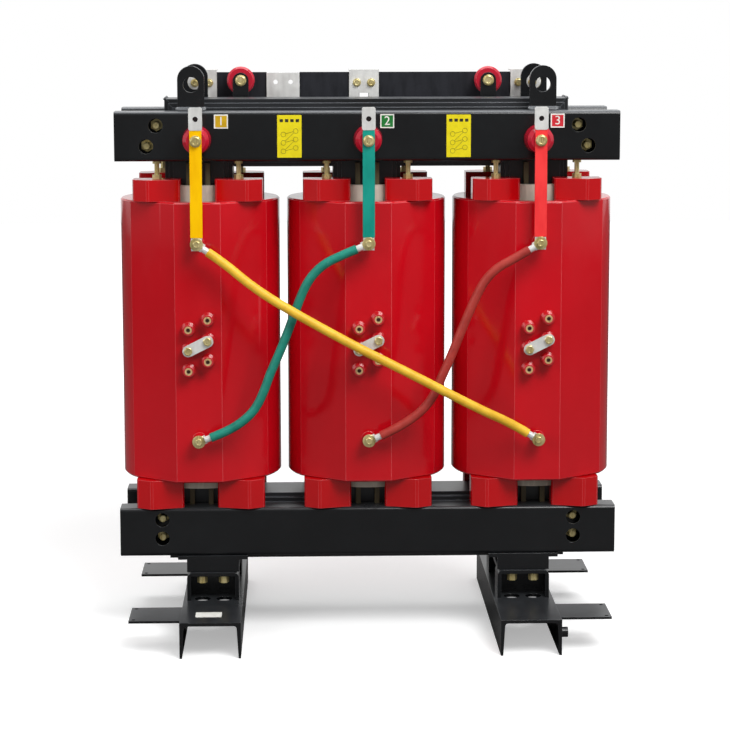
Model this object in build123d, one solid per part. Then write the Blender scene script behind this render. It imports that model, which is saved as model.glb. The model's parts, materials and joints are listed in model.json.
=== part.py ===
from build123d import *
import math
import os

# Three-phase cast-resin dry type transformer, open, on two base channels.
# X runs along the row of coils, -Y is the high-voltage front, Z = 0 is the floor.
# The origin is on the floor under the middle limb. All sizes are in millimetres.

# ---------------------------------------------------------------- core of stepped sheet packets
core_circle_r = 88.0             # the circle round a limb's steps
packet_half_depths = (52.0, 62.0, 70.0)
core_drop = 23.0                 # of the core's underside below the lower clamps' underside
top_yoke_drop = 16.0             # of the top yoke's underside below the upper clamps' underside
step_lap = 4.0                   # the mitred ends of neighbouring packets differ by this
lap_packets = 4                  # packets in each half of the main stack
stick_width = 10.0
stick_depth = 20.0
stick_x = 20.0
stick_top_gap = 6.0

# ---------------------------------------------------------------- coils, from the limb outwards
limb_clearance = 6.0
lv_wall = 19.0
duct = 20.0                      # the cooling duct between the two coils
hv_wall = 36.0
coil_gap = 16.0                  # between neighbouring phases
hv_height = 590.0
hv_front_flat_depth = 9.0        # cut off the round by the front flat
hv_front_flat_width = 96.0
hv_side_flat_angle = 36.0        # the two flats beside the front one
hv_edge_chamfer = 3.0
lv_above_hv = 31.0
lv_below_hv = 22.0

# ---------------------------------------------------------------- terminals on the front flat
boss_base_r = 14.0
boss_tip_r = 11.0
tap_boss_length = 24.0
terminal_boss_length = 28.0
terminal_inset = 94.0            # of the two main terminals from the coil's ends
terminal_inset_top = 83.0
tap_column_x = 20.0
tap_step = 43.5                  # between taps of one column
tap_middle_left = 284.0          # height of the left column's middle tap above the coil's bottom
tap_middle_right = 304.0
insert_r = 8.0
insert_across = 15.5             # of the insert's fourteen sides, inside its round pocket
insert_hole = 8.4
insert_depth = 14.0
insert_proud = 0.5
link_width = 24.0
link_thickness = 4.0

# ---------------------------------------------------------------- clamps and tie rods
clamp_overhang = 100.0           # past the core's ends
clamp_height = 103.0
clamp_depth = 60.0
clamp_wall = 5.0
clamp_corner_r = 8.0
rod_r = 8.0
rod_hole_r = 8.3
nut_af = 24.0
nut_height = 13.0
access_r = 15.0
upper_rod_places = [(14.0, 74.0), (34.0, 31.0)]           # past the core's end, above the clamp's underside
lower_rod_places = [(11.0, 78.0), (11.0, 38.0)]

lug_offset = 13.0                # outwards from an outer limb's axis
lug_width = 56.0
lug_height = 93.0
lug_thickness = 12.0
lug_hole_r = 16.0
lug_hole_height = 54.0
lug_inset = 16.0                 # from the clamp's inner face
weld_leg = 8.0

# ---------------------------------------------------------------- support blocks and jack bolts
block_inner_x = 36.0             # the end beside the coil's middle
block_front_x = 103.0            # the foremost corner
block_outer_x = 135.0
block_front_inset = 20.0         # of that corner behind the front flat
block_shoulder = 18.0            # from that corner back to both ends
block_core_gap = 2.0
block_edge = 3.0
lower_block_height = 61.0
upper_block_height = 45.0
step_past_lv = 5.0               # where the block steps round the low-voltage coil
jack_x = 85.0
jack_y = 100.0
jack_r = 5.0
jack_nut_af = 17.0
jack_nut_height = 9.0
jack_cap_r = 9.0
jack_cap_height = 6.0
jack_length = 38.0

# ---------------------------------------------------------------- base
gauge = 660.0                    # between the channels' centres
channel_width = 126.0
channel_height = 75.0
channel_length = 624.0
channel_web = 7.0
flange_root = 9.0
flange_tip = 5.0
channel_root_r = 6.0
access_hole_r = 17.0
foot_bolt_x = 23.0               # from the channel's centre
foot_bolt_y = 122.0

pedestal_width = 110.0
pedestal_height = 60.0
pedestal_depth = 60.0
pedestal_wall = 8.0
pedestal_corner_r = 12.0
pedestal_front = 138.0
foot_nut_af = 19.0
foot_nut_height = 16.0

foot_beam_height = 35.0
foot_beam_base = 9.0
foot_beam_wall = 8.0
foot_flange_width = 148.0

plate_reach = 105.0
plate_width = 104.0
plate_thickness = 5.0
plate_hole_r = 4.0
plate_hole_inset = 10.0
front_plate_inset = 19.0
rear_plate_inset = 122.0

earth_r = 10.5
earth_hole_r = 5.1
earth_length = 14.0
earth_inset = 22.0
earth_height = 43.0

# ---------------------------------------------------------------- high-voltage bars and leads
lv_insulator_length = 55.0
insulator_base_r = 30.0
insulator_tip_r = 25.0
hv_insulator_height = 45.0       # above the upper clamp's underside
bar_width = 23.0
bar_thickness = 4.0
pad_width = 28.0
pad_length = 47.0
pad_extra = 2.0
pad_hole_r = 5.5
pad_top = 114.0                  # above the upper clamp's underside
pad_hole_drop = 24.0
bar_end_below_terminal = 14.0
sleeve_wall = 1.0
sleeve_end_gap = 13.0            # of the sleeve above the terminal's centre
bolt_af = 19.0
bolt_head = 8.0
terminal_washer_r = 13.5
terminal_washer = 2.0
terminal_bolt_af = 13.0
terminal_bolt_head = 6.0

lead_d = 19.0
lug_palm_r = 11.0
lug_palm = 3.0
lug_barrel_r = 7.0
lug_barrel_start = 14.0
lug_barrel_end = 27.0

# ---------------------------------------------------------------- low-voltage side
neutral_y = 147.0                # front face of the neutral bar
neutral_bar_height = 60.0
neutral_bar_thickness = 6.0
neutral_bar_bottom = 115.0       # above the upper clamps' underside
neutral_end_gap = 10.0           # half the gap between the two bars' ends
riser_width = 65.0
riser_thickness = 6.0
riser_foot_width = 50.0
riser_foot_y = 98.0
riser_bend_above_lv = 21.0
riser_top_above_bar = 7.0
riser_fold = 50.0
riser_slot_width = 22.0
riser_slot_above_bar = 16.0
outlet_width = 72.0
outlet_drop = 8.0
outlet_chamfer = 8.0
outlet_hole_r = 5.0
outlet_hole_pitch = 33.0
outlet_hole_above_bar = 40.0
lv_sleeve_wall = 1.5
joint_bolt_pitch = 31.0
joint_bolt_af = 13.0
joint_bolt_head = 7.0
lv_insulator_inset = 86.0        # inwards from the outer limbs' axes
lv_insulator_above_clamp = 57.0
tab_width = 34.0
tab_thickness = 6.0
phase_bar_y = 190.0
phase_bar_width = 60.0
phase_bar_thickness = 8.0
phase_bar_top = 92.0             # above the upper clamps' underside
phase_hole_r = 6.5
phase_hole_x = 30.0
phase_hole_z = 34.0

# ---------------------------------------------------------------- widths worked out from the sizes above
packets = [(depth, 2 * math.sqrt(core_circle_r ** 2 - depth ** 2)) for depth in packet_half_depths]
core_width = packets[0][1]
lv_inner_r = core_circle_r + limb_clearance
lv_outer_r = lv_inner_r + lv_wall
hv_inner_r = lv_outer_r + duct
hv_outer_r = hv_inner_r + hv_wall
hv_front_flat_y = hv_outer_r - hv_front_flat_depth
phase_pitch = 2 * hv_outer_r + coil_gap
phases = {"a": -phase_pitch, "b": 0.0, "c": phase_pitch}
core_end = phase_pitch + core_width / 2
clamp_length = 2 * (core_end + clamp_overhang)
upper_rods = [(core_end + past, height) for past, height in upper_rod_places]
lower_rods = [(core_end + past, height) for past, height in lower_rod_places]
lug_x = phase_pitch + lug_offset
outlet_x = -phase_pitch / 2
lv_insulator_xs = (lv_insulator_inset - phase_pitch, phase_pitch - lv_insulator_inset)

# ---------------------------------------------------------------- heights worked out from the sizes above
pedestal_top = channel_height + pedestal_height
clamp_lower_z = pedestal_top + foot_beam_height
hv_bottom = clamp_lower_z + clamp_height + lower_block_height
hv_top = hv_bottom + hv_height
lv_bottom = hv_bottom - lv_below_hv
lv_top = hv_top + lv_above_hv
block_top = hv_top + upper_block_height
clamp_upper_z = block_top + jack_length
clamp_top = clamp_upper_z + clamp_height
clamp_inner_y = packets[-1][0]
clamp_outer_y = clamp_inner_y + clamp_depth
core_bottom = clamp_lower_z - core_drop
window_top = clamp_upper_z - top_yoke_drop
core_top = window_top + core_width
terminal_low_z = hv_bottom + terminal_inset
terminal_high_z = hv_top - terminal_inset_top
tap_tip_y = -hv_front_flat_y - tap_boss_length
terminal_tip_y = -hv_front_flat_y - terminal_boss_length
bar_back_y = terminal_tip_y
bar_front_y = bar_back_y - bar_thickness
link_back_y = tap_tip_y - insert_proud
link_front_y = link_back_y - link_thickness
hv_insulator_length = -bar_back_y - sleeve_wall - clamp_outer_y
neutral_bottom = clamp_upper_z + neutral_bar_bottom
neutral_top = neutral_bottom + neutral_bar_height
riser_y = neutral_y - riser_thickness
tab_back_y = neutral_y - lv_sleeve_wall - lv_insulator_length
lv_insulator_z = clamp_top + lv_insulator_above_clamp
taps = [(side * tap_column_x, middle + step * tap_step)
        for side, middle in ((-1, tap_middle_left), (1, tap_middle_right)) for step in (-1, 0, 1)]
link_taps = [(-tap_column_x, tap_middle_left), (tap_column_x, tap_middle_right)]


# ---------------------------------------------------------------- small helpers
def block(x, y, z):
    """A box between the low and high values of each pair."""
    size = (x[1] - x[0], y[1] - y[0], z[1] - z[0])
    return Pos((x[0] + x[1]) / 2, (y[0] + y[1]) / 2, (z[0] + z[1]) / 2) * Box(*size)


def rod(start, end, radius, end_radius=None):
    """A round bar, or a cone, from one point to another."""
    axis = Vector(*end) - Vector(*start)
    place = Plane(origin=start, z_dir=axis.normalized())
    down = (Align.CENTER, Align.CENTER, Align.MIN)
    if end_radius is None:
        return place * Cylinder(radius, axis.length, align=down)
    return place * Cone(radius, end_radius, axis.length, align=down)


def prism(start, end, across_flats, sides):
    """A prism with equal sides from one point to another. Small round parts use it to keep their facets few."""
    axis = Vector(*end) - Vector(*start)
    place = Plane(origin=start, z_dir=axis.normalized())
    outline = RegularPolygon(across_flats / 2, sides, major_radius=False)
    return extrude(place * outline, axis.length)


def hexagon(start, end, across_flats):
    """A hexagonal prism from one point to another."""
    return prism(start, end, across_flats, 6)


def turned(profile, origin, direction):
    """A turned piece: profile holds (radius, distance along the axis) points."""
    outline = Polyline(*[(r, 0, d) for r, d in profile], close=True)
    body = revolve(make_face(outline), Axis.Z)
    return Plane(origin=origin, z_dir=direction) * body


def in_depth(points, y_low, y_high):
    """A flat sheet packet: an outline of (x, z) points, with its thickness along Y."""
    outline = Polyline(*[(x, y_low, z) for x, z in points], close=True)
    return extrude(make_face(outline), y_high - y_low, dir=(0, 1, 0))


def along_x(points, x_low, x_high):
    """A prism with an outline of (y, z) points."""
    outline = Polyline(*[(x_low, y, z) for y, z in points], close=True)
    return extrude(make_face(outline), x_high - x_low, dir=(1, 0, 0))


def save(node, *pieces):
    """Writes the pieces of one node, each as a solid of its own."""
    solids = [solid for piece in pieces for solid in piece.solids()]
    shape = solids[0] if len(solids) == 1 else Compound(children=solids)
    shape.label = node
    export_step(shape, f"parts/{node}.step")


# ---------------------------------------------------------------- core
def sheet_packets():
    """Every packet: its depth from y_low to y_high, its sheet width and its lap offset."""
    main_half, main_width = packets[0]
    thick = main_half / lap_packets
    layers = []
    for k in range(-lap_packets, lap_packets):
        layers.append((k * thick, (k + 1) * thick, main_width, step_lap * (-1) ** k))
    for (inner, _), (outer, width) in zip(packets, packets[1:]):
        layers.append((inner, outer, width, 0.0))
        layers.append((-outer, -inner, width, 0.0))
    return layers


def limb_outline(x, width, lap):
    """One limb with its mitred top, an outer limb or the middle one, as (x, z) points."""
    half, foot = width / 2, core_bottom + core_width / 2
    low = window_top + (core_width - width) / 2
    if x == 0:
        return [(-half, foot), (half, foot), (half, low), (0, low + half), (-half, low)]
    side = math.copysign(1, x)
    outer, inner = x + side * half, x - side * half
    return [(outer, foot), (inner, foot), (inner, low + lap), (outer, low + width + lap)]


def yoke_outline(width, lap):
    """The top yoke's sheet: mitred ends, and a V-notch over the middle limb."""
    half = width / 2
    low = window_top + (core_width - width) / 2
    inner, outer = phase_pitch - half, phase_pitch + half
    return [(-inner + lap, low), (-half, low), (0, low + half), (half, low), (inner - lap, low),
            (outer - lap, low + width), (-outer + lap, low + width)]


def core_stack():
    stack = None
    for y_low, y_high, width, lap in sheet_packets():
        half = width / 2
        low = core_bottom + (core_width - width) / 2
        end = phase_pitch + half
        layer = block((-end, end), (y_low, y_high), (low, low + width))
        for x in phases.values():
            layer += in_depth(limb_outline(x, width, lap), y_low, y_high)
        stack = layer if stack is None else stack + layer
    return stack


def top_yoke():
    yoke = None
    for y_low, y_high, width, lap in sheet_packets():
        layer = in_depth(yoke_outline(width, lap), y_low, y_high)
        yoke = layer if yoke is None else yoke + layer
    return yoke


def spacer_sticks():
    sticks = []
    for x in phases.values():
        for side_x in (-1, 1):
            for side_y in (-1, 1):
                near, far = sorted((side_y * clamp_inner_y, side_y * (clamp_inner_y + stick_depth)))
                middle = x + side_x * stick_x
                sticks.append(block((middle - stick_width / 2, middle + stick_width / 2), (near, far),
                                    (clamp_lower_z + clamp_height, clamp_upper_z - stick_top_gap)))
    return sticks


# ---------------------------------------------------------------- coils
def coil_outline():
    """The high-voltage coil from above: a round cut by three flats in front."""
    turn = math.radians(hv_side_flat_angle)
    side_flat = (hv_front_flat_width / 2 * math.sin(turn) + hv_front_flat_y * math.cos(turn))
    outline = Circle(hv_outer_r)
    for angle, distance in ((0, hv_front_flat_y), (hv_side_flat_angle, side_flat),
                            (-hv_side_flat_angle, side_flat)):
        cut = Pos(0, -distance - hv_outer_r) * Rectangle(4 * hv_outer_r, 2 * hv_outer_r)
        outline -= Rot(0, 0, angle) * cut
    return outline


def hv_coil(x):
    body = extrude(coil_outline(), hv_height)
    rims = body.faces().sort_by(Axis.Z)
    body = chamfer(rims[0].edges() + rims[-1].edges(), hv_edge_chamfer)
    body = Pos(x, 0, hv_bottom) * body
    body -= rod((x, 0, hv_bottom - 1), (x, 0, hv_top + 1), hv_inner_r)
    for dx, dz in taps:
        foot = (x + dx, -hv_front_flat_y + 1, hv_bottom + dz)
        tip = (x + dx, tap_tip_y, hv_bottom + dz)
        seat = (x + dx, tap_tip_y + insert_depth, hv_bottom + dz)
        body += rod(foot, tip, boss_base_r, boss_tip_r)
        body -= rod(seat, tip, insert_r)
    for z in (terminal_low_z, terminal_high_z):
        body += rod((x, -hv_front_flat_y + 1, z), (x, terminal_tip_y, z), boss_base_r, boss_tip_r)
    return body


def lv_coil(x):
    ring = rod((x, 0, lv_bottom), (x, 0, lv_top), lv_outer_r)
    return ring - rod((x, 0, lv_bottom - 1), (x, 0, lv_top + 1), lv_inner_r)


def support_blocks(x, low, high, step_low, step_high):
    """Four blocks round one coil's end. A round step clears the low-voltage coil, which is the longer one."""
    blocks = []
    back, front = clamp_inner_y + block_core_gap, hv_front_flat_y - block_front_inset
    ends = front - block_shoulder
    corners = [(block_inner_x, back), (block_inner_x, ends), (block_front_x, front), (block_outer_x, ends),
               (block_outer_x, back)]
    for side_x in (-1, 1):
        for side_y in (-1, 1):
            outline = Polygon(*[(side_x * px, side_y * py) for px, py in corners], align=None)
            outline = chamfer(outline.vertices(), block_edge)
            piece = Pos(0, 0, low) * extrude(outline, high - low, dir=(0, 0, 1))
            piece -= rod((0, 0, step_low), (0, 0, step_high), lv_outer_r + step_past_lv)
            blocks.append(Pos(x, 0, 0) * piece)
    return blocks


def jack_bolts():
    bolts = []
    for x in phases.values():
        for side_x in (-1, 1):
            for side_y in (-1, 1):
                px, py = x + side_x * jack_x, side_y * jack_y
                neck = clamp_upper_z - jack_cap_height
                stem = prism((px, py, block_top), (px, py, neck), 2 * jack_r, 12)
                cap = prism((px, py, neck), (px, py, clamp_upper_z), 2 * jack_cap_r, 16)
                nut = hexagon((px, py, block_top), (px, py, block_top + jack_nut_height), jack_nut_af)
                bolts.append(stem + cap + nut)
    return bolts


# ---------------------------------------------------------------- frame
def clamp(side, low, rods):
    """One clamp beam: a rectangular tube with access holes outside and rod holes inside."""
    centre = side * (clamp_inner_y + clamp_depth / 2)
    outline = RectangleRounded(clamp_depth, clamp_height, clamp_corner_r)
    outline -= Rectangle(clamp_depth - 2 * clamp_wall, clamp_height - 2 * clamp_wall)
    place = Plane(origin=(-clamp_length / 2, centre, low + clamp_height / 2), x_dir=(0, 1, 0), z_dir=(1, 0, 0))
    beam = extrude(place * outline, clamp_length)
    outer, inner = side * (clamp_outer_y + 1), side * (clamp_inner_y - 1)
    for dx, dz in rods:
        for x in (-dx, dx):
            beam -= rod((x, outer, low + dz), (x, centre, low + dz), access_r)
            beam -= rod((x, centre, low + dz), (x, inner, low + dz), rod_hole_r)
    return beam


def tie_rods():
    """Rods through both beams of a pair, each with a nut seated on the inner wall at both ends."""
    out = []
    seat = clamp_inner_y + clamp_wall
    for low, rods in ((clamp_upper_z, upper_rods), (clamp_lower_z, lower_rods)):
        for dx, dz in rods:
            for x in (-dx, dx):
                piece = rod((x, -seat, low + dz), (x, seat, low + dz), rod_r)
                for side in (-1, 1):
                    piece += hexagon((x, side * seat, low + dz), (x, side * (seat + nut_height), low + dz), nut_af)
                out.append(piece)
    return out


def lifting_lugs(side):
    """Two welded lugs on one upper beam."""
    near = side * (clamp_inner_y + lug_inset)
    far = near + side * lug_thickness
    lugs = []
    for x in (-lug_x, lug_x):
        half = lug_width / 2
        lug = block((x - half, x + half), sorted((near, far)), (clamp_top, clamp_top + lug_height - half))
        lug += rod((x, near, clamp_top + lug_height - half), (x, far, clamp_top + lug_height - half), half)
        eye = clamp_top + lug_hole_height
        lug -= rod((x, near - side, eye), (x, far + side, eye), lug_hole_r)
        for face, out in ((near, -side), (far, side)):
            bead = [(face, clamp_top), (face + out * weld_leg, clamp_top), (face, clamp_top + weld_leg)]
            lug += along_x(bead, x - half, x + half)
        lugs.append(lug)
    return lugs


def base_channel(side):
    """A rolled channel with its legs down, tapered flanges and round roots."""
    half = channel_width / 2
    slope = flange_root - flange_tip
    points = [(-half, 0), (-half + flange_tip, 0), (-half + flange_root, channel_height - channel_web),
              (half - flange_root, channel_height - channel_web), (half - flange_tip, 0), (half, 0),
              (half, channel_height), (-half, channel_height)]
    outline = make_face(Polyline(*points, close=True))
    roots = [v for v in outline.vertices()
             if abs(v.Y - channel_height + channel_web) < 0.1 and abs(v.X) < half - slope]
    outline = fillet(roots, channel_root_r)
    place = Plane(origin=(side * gauge / 2, channel_length / 2, 0), x_dir=(1, 0, 0), z_dir=(0, -1, 0))
    channel = extrude(place * outline, channel_length)
    for dx in (-foot_bolt_x, foot_bolt_x):
        for y in (-foot_bolt_y, foot_bolt_y):
            x = side * gauge / 2 + dx
            channel -= rod((x, y, channel_height - channel_web - 1), (x, y, channel_height + 1), access_hole_r)
    return channel


def pedestals(side):
    """Two bent brackets on one channel, open outwards and closed at the back."""
    out = []
    x = side * gauge / 2
    for front in (-1, 1):
        outline = Pos(0, -pedestal_corner_r / 2) * RectangleRounded(
            pedestal_width, pedestal_height + pedestal_corner_r, pedestal_corner_r)
        outline &= Rectangle(2 * pedestal_width, pedestal_height)
        outline -= Pos(0, -pedestal_wall) * Rectangle(pedestal_width - 2 * pedestal_wall, pedestal_height)
        y_open, y_back = front * pedestal_front, front * (pedestal_front - pedestal_depth)
        place = Plane(origin=(x, max(y_open, y_back), channel_height + pedestal_height / 2),
                      x_dir=(1, 0, 0), z_dir=(0, -1, 0))
        bracket = extrude(place * outline, pedestal_depth)
        half = pedestal_width / 2 - pedestal_wall
        bracket += block((x - half, x + half), sorted((y_back, y_back + front * pedestal_wall)),
                         (channel_height, pedestal_top - pedestal_wall))
        out.append(bracket)
    return out


def foot_nuts():
    nuts = []
    for side in (-1, 1):
        for dx in (-foot_bolt_x, foot_bolt_x):
            for y in (-foot_bolt_y, foot_bolt_y):
                x, top = side * gauge / 2 + dx, pedestal_top - pedestal_wall
                nuts.append(hexagon((x, y, top - foot_nut_height), (x, y, top), foot_nut_af))
    return nuts


def foot_beam(side):
    """The cross support under both lower clamps, low in the middle to clear the yoke."""
    x, half, wide = side * gauge / 2, pedestal_width / 2, foot_flange_width / 2
    beam = block((x - half, x + half), (-clamp_outer_y, clamp_outer_y), (pedestal_top, pedestal_top + foot_beam_base))
    for front in (-1, 1):
        outer, inner = front * clamp_outer_y, front * (clamp_inner_y + 2)
        for y in (outer, inner):
            step = -front if y == outer else front
            beam += block((x - half, x + half), sorted((y, y + step * foot_beam_wall)), (pedestal_top, clamp_lower_z))
        beam += block((x - wide, x + wide), sorted((outer, inner)), (clamp_lower_z - foot_beam_wall, clamp_lower_z))
    return beam


def side_plates():
    plates = []
    for side in (-1, 1):
        inner = side * (gauge + channel_width) / 2
        outer = inner + side * plate_reach
        for y in (-channel_length / 2 + front_plate_inset, channel_length / 2 - rear_plate_inset - plate_width):
            plate = block(sorted((inner, outer)), (y, y + plate_width), (channel_height - plate_thickness, channel_height))
            for hole_y in (y + plate_hole_inset, y + plate_width - plate_hole_inset):
                x = outer - side * plate_hole_inset
                plate -= rod((x, hole_y, 0), (x, hole_y, channel_height + 1), plate_hole_r)
            plates.append(plate)
    return plates


def earth_boss():
    x = (gauge + channel_width) / 2
    y = -channel_length / 2 + earth_inset
    boss = rod((x, y, earth_height), (x + earth_length, y, earth_height), earth_r)
    return boss - rod((x, y, earth_height), (x + earth_length + 1, y, earth_height), earth_hole_r)


# ---------------------------------------------------------------- insulators, bars and terminals
def post_insulator(base, direction, length):
    """A smooth cast post, widest near its foot, with rounded-off ends."""
    profile = [(0, 0), (insulator_base_r - 4, 0), (insulator_base_r, 5), (insulator_tip_r + 2, length - 8),
               (insulator_tip_r - 5, length), (0, length)]
    return turned(profile, base, direction)


def post_insulators():
    z = clamp_upper_z + hv_insulator_height
    front = [post_insulator((x, -clamp_outer_y, z), (0, -1, 0), hv_insulator_length) for x in phases.values()]
    back = [post_insulator((x, tab_back_y, lv_insulator_z), (0, 1, 0), lv_insulator_length) for x in lv_insulator_xs]
    return front + back


def insulator_tabs():
    """Two upright tabs on the back upper beam, round at the top, that carry the rear insulators."""
    half, front, z = tab_width / 2, tab_back_y - tab_thickness, lv_insulator_z
    tabs = []
    for x in lv_insulator_xs:
        tab = block((x - half, x + half), (front, tab_back_y), (clamp_top, z))
        tabs.append(tab + rod((x, front, z), (x, tab_back_y, z), half))
    return tabs


def insulator_bolts():
    """Hexagon heads on the five insulators."""
    front = bar_front_y - sleeve_wall
    z = clamp_upper_z + hv_insulator_height
    heads = [hexagon((x, front, z), (x, front - bolt_head, z), bolt_af) for x in phases.values()]
    back = tab_back_y - tab_thickness
    for x in lv_insulator_xs:
        heads.append(hexagon((x, back, lv_insulator_z), (x, back - bolt_head, lv_insulator_z), bolt_af))
    return heads


def hv_busbar(x):
    """A flat tinned bar with a wider line pad on top. It ends on the coil's upper terminal."""
    top = clamp_upper_z + pad_top
    low = terminal_high_z - bar_end_below_terminal
    bar = block((x - bar_width / 2, x + bar_width / 2), (bar_front_y, bar_back_y), (low, top))
    pad = block((x - pad_width / 2, x + pad_width / 2), (bar_front_y - pad_extra, bar_back_y), (top - pad_length, top))
    corners = pad.edges().filter_by(Axis.Y)
    bar += chamfer(corners, 3)
    hole = top - pad_hole_drop
    return bar - rod((x, bar_front_y - 10, hole), (x, bar_back_y + 10, hole), pad_hole_r)


def bar_sleeve(x):
    """The coloured sleeve round the middle of one bar."""
    low = terminal_high_z + sleeve_end_gap
    high = clamp_upper_z + pad_top - pad_length
    half = bar_width / 2
    skin = block((x - half - sleeve_wall, x + half + sleeve_wall),
                 (bar_front_y - sleeve_wall, bar_back_y + sleeve_wall), (low, high))
    return skin - block((x - half, x + half), (bar_front_y, bar_back_y), (low - 1, high + 1))


def tap_inserts(x):
    inserts = []
    for tap in taps:
        if tap in link_taps:
            continue
        px, z = x + tap[0], hv_bottom + tap[1]
        insert = prism((px, tap_tip_y + insert_depth, z), (px, link_back_y, z), insert_across, 14)
        inserts.append(insert - prism((px, tap_tip_y + insert_depth + 1, z), (px, link_back_y - 1, z), insert_hole, 10))
    return inserts


def link_inserts(x):
    """The two plain inserts that the link sits on."""
    inserts = []
    for dx, dz in link_taps:
        px, z = x + dx, hv_bottom + dz
        inserts.append(prism((px, tap_tip_y + insert_depth, z), (px, link_back_y, z), insert_across, 14))
    return inserts


def tap_link(x):
    """The tinned link between the two middle taps, with round ends."""
    (x0, z0), (x1, z1) = link_taps
    pitch = math.hypot(x1 - x0, z1 - z0)
    turn = math.degrees(math.atan2(z1 - z0, x1 - x0))
    outline = SlotCenterToCenter(pitch, link_width)
    place = Plane(origin=(x + (x0 + x1) / 2, link_back_y, hv_bottom + (z0 + z1) / 2), x_dir=(1, 0, 0), z_dir=(0, -1, 0))
    return extrude(place * (Rot(0, 0, turn) * outline), link_thickness)


def link_screws():
    heads = []
    for x in phases.values():
        for dx, dz in link_taps:
            px, z = x + dx, hv_bottom + dz
            heads.append(hexagon((px, link_front_y, z), (px, link_front_y - terminal_bolt_head, z), terminal_bolt_af + 3))
    return heads


def terminal_ends():
    """Both ends of each lead: its terminal, the way it leaves, and the face its lug lies on."""
    a, b, c = phases["a"], phases["b"], phases["c"]
    upper, lower = bar_front_y, bar_back_y
    return {
        "yellow": ((a, upper, terminal_high_z, -34), (c, lower, terminal_low_z, 148)),
        "green": ((b, upper, terminal_high_z, -157.5), (a, lower, terminal_low_z, 21)),
        "red": ((c, upper, terminal_high_z, -150), (b, lower, terminal_low_z, 25)),
    }


def lug_point(end, distance):
    """A point on a lug's barrel axis, at a distance from the terminal's centre."""
    x, face, z, turn = end
    angle = math.radians(turn)
    return (x + distance * math.cos(angle), face - lug_barrel_r, z + distance * math.sin(angle))


def lead_lug(end):
    """A crimped lug: a flat palm under the bolt and a round barrel."""
    x, face, z, turn = end
    palm = rod((x, face, z), (x, face - lug_palm, z), lug_palm_r)
    neck = block((0, lug_barrel_start + 2), (-lug_palm_r + 2, lug_palm_r - 2), (0, lug_palm))
    place = Plane(origin=(x, face, z), x_dir=(math.cos(math.radians(turn)), 0, math.sin(math.radians(turn))),
                  z_dir=(0, -1, 0))
    barrel = rod(lug_point(end, lug_barrel_start), lug_point(end, lug_barrel_end), lug_barrel_r)
    return palm + place * neck + barrel


def terminal_bolts():
    """A hexagon head with its washer on each of the six terminals."""
    out = []
    for ends in terminal_ends().values():
        for x, face, z, _ in ends:
            seat = face - lug_palm
            head = seat - terminal_washer
            out.append(prism((x, seat, z), (x, head, z), 2 * terminal_washer_r, 16)
                       + hexagon((x, head, z), (x, head - terminal_bolt_head, z), terminal_bolt_af))
    return out


# The straight stretch of each lead at its first and at its last lug.
lead_straights = {"yellow": (40, 40), "green": (38, 34), "red": (38, 30)}

# The stretch between them, as (x, y, height above the coil's bottom). The yellow lead passes in front.
lead_routes = {
    "yellow": [(-240, -212, 421), (-167, -221, 375), (-40, -226, 304), (90, -228, 238), (228, -218, 164)],
    "green": [(-94, -197, 465), (-121, -194, 438), (-140, -192, 401), (-161, -191, 342), (-184, -190, 283),
              (-204, -191, 240), (-219, -192, 197), (-236, -193, 163), (-262, -195, 137)],
    "red": [(265, -197, 457), (239, -194, 430), (219, -192, 391), (195, -191, 334), (170, -190, 270),
            (150, -191, 226), (134, -192, 187), (110, -193, 157), (80, -195, 135)],
}


def lead(colour):
    """One insulated lead from lug to lug, with the largest arcs that its runs allow."""
    first, last = terminal_ends()[colour]
    start, finish = lead_straights[colour]
    route = [(x, y, hv_bottom + height) for x, y, height in lead_routes[colour]]
    points = [lug_point(first, lug_barrel_end), lug_point(first, lug_barrel_end + start), *route,
              lug_point(last, lug_barrel_end + finish), lug_point(last, lug_barrel_end)]
    vectors = [Vector(*p) for p in points]
    runs = [b - a for a, b in zip(vectors, vectors[1:])]
    radii = []
    for before, after in zip(runs, runs[1:]):
        half_turn = math.radians(before.get_angle(after)) / 2
        radii.append(0.45 * min(before.length, after.length) / math.tan(half_turn))
    path = FilletPolyline(*points, radius=radii)
    section = Plane(origin=points[0], z_dir=runs[0].normalized()) * Circle(lead_d / 2)
    tube = sweep(section, path=path)
    length = path.length
    share = tube.volume / (math.pi * (lead_d / 2) ** 2 * length)
    print(f"lead {colour}: length {length:.1f}, radii {[round(r) for r in radii]}, volume share {share:.4f}")
    print("   runs", [round(r.length) for r in runs])
    return tube


# ---------------------------------------------------------------- low-voltage side
def neutral_bars():
    """Two bars in line. Each joint at a riser takes the ends of both."""
    ends = phase_pitch + riser_width / 2
    hole_z = neutral_bottom + outlet_hole_above_bar
    bars = []
    for low, high in ((-ends, -neutral_end_gap), (neutral_end_gap, ends)):
        bars.append(block((low, high), (neutral_y, neutral_y + neutral_bar_thickness), (neutral_bottom, neutral_top)))
    for dx in (-outlet_hole_pitch / 2, outlet_hole_pitch / 2):
        bars[0] -= rod((outlet_x + dx, neutral_y - 1, hole_z),
                       (outlet_x + dx, neutral_y + neutral_bar_thickness + 1, hole_z), outlet_hole_r)
    return bars


def neutral_outlet():
    """The bare outlet plate in front of the neutral bar, with two holes."""
    half, low, z = outlet_width / 2, neutral_bottom - outlet_drop, neutral_bottom + outlet_hole_above_bar
    cut = outlet_chamfer
    points = [(outlet_x - half + cut, low), (outlet_x + half - cut, low), (outlet_x + half, low + cut),
              (outlet_x + half, neutral_top), (outlet_x - half, neutral_top), (outlet_x - half, low + cut)]
    plate = in_depth(points, riser_y, neutral_y)
    for dx in (-outlet_hole_pitch / 2, outlet_hole_pitch / 2):
        plate -= rod((outlet_x + dx, riser_y - 1, z), (outlet_x + dx, neutral_y + 1, z), outlet_hole_r)
    return plate


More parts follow.
